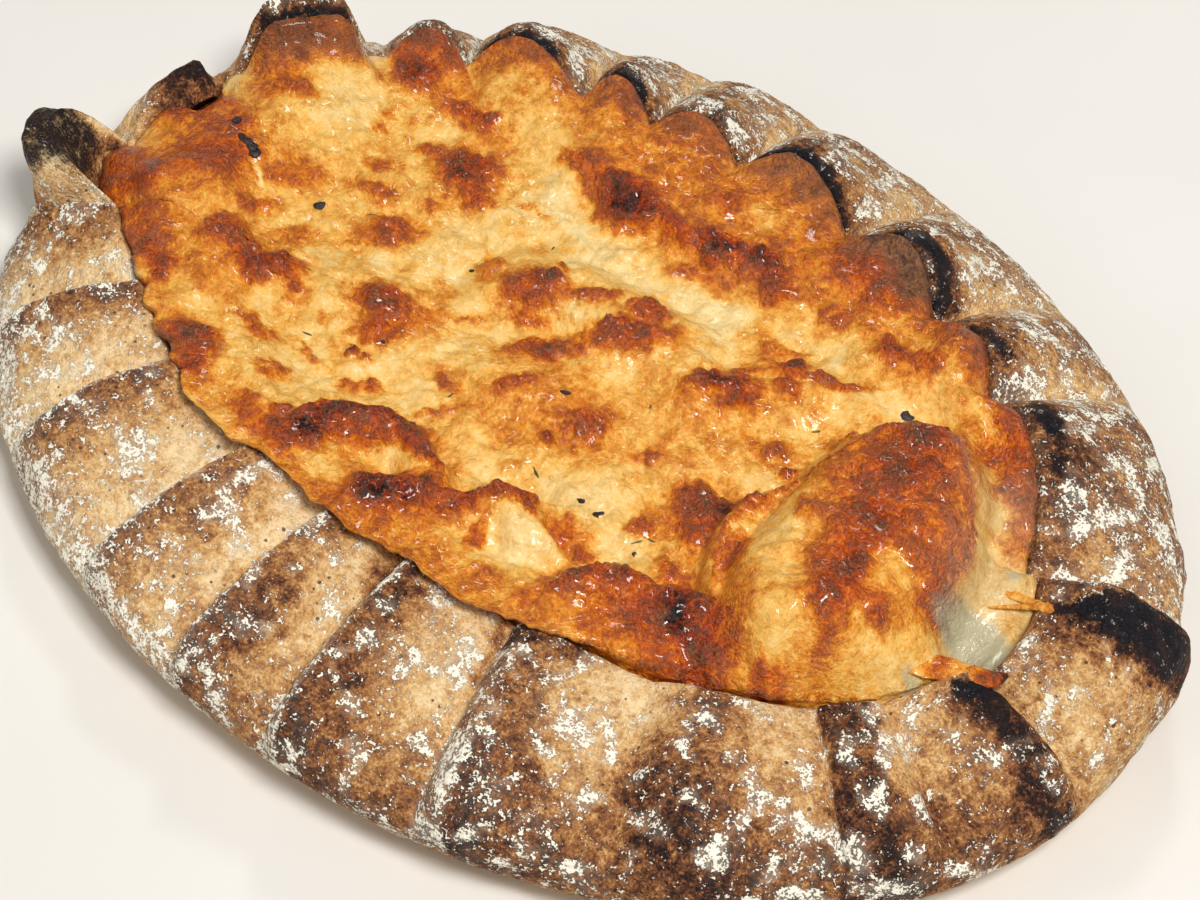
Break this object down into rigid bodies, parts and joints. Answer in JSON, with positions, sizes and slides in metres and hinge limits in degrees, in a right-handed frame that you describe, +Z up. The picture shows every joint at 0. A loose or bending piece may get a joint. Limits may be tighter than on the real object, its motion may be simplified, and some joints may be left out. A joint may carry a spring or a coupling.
{
  "type": "karelian pasty",
  "caption": "Oval open pasty: a thin rye crust with a pleated, partly charred rim round a lumpy, browned potato filling.",
  "frame": {"origin": "on the flat underside, below the middle of the bounding box", "axes": "+X along the oval to the end with the mound of filling, +Y across it, +Z up"},
  "size_m": [0.1282, 0.0964, 0.0233],
  "materials": {
    "rye_crust": null,
    "baked_filling": null
  },
  "bodies": {
    "root": {"crust": "rye_crust", "filling": "baked_filling"}
  },
  "joints": []
}
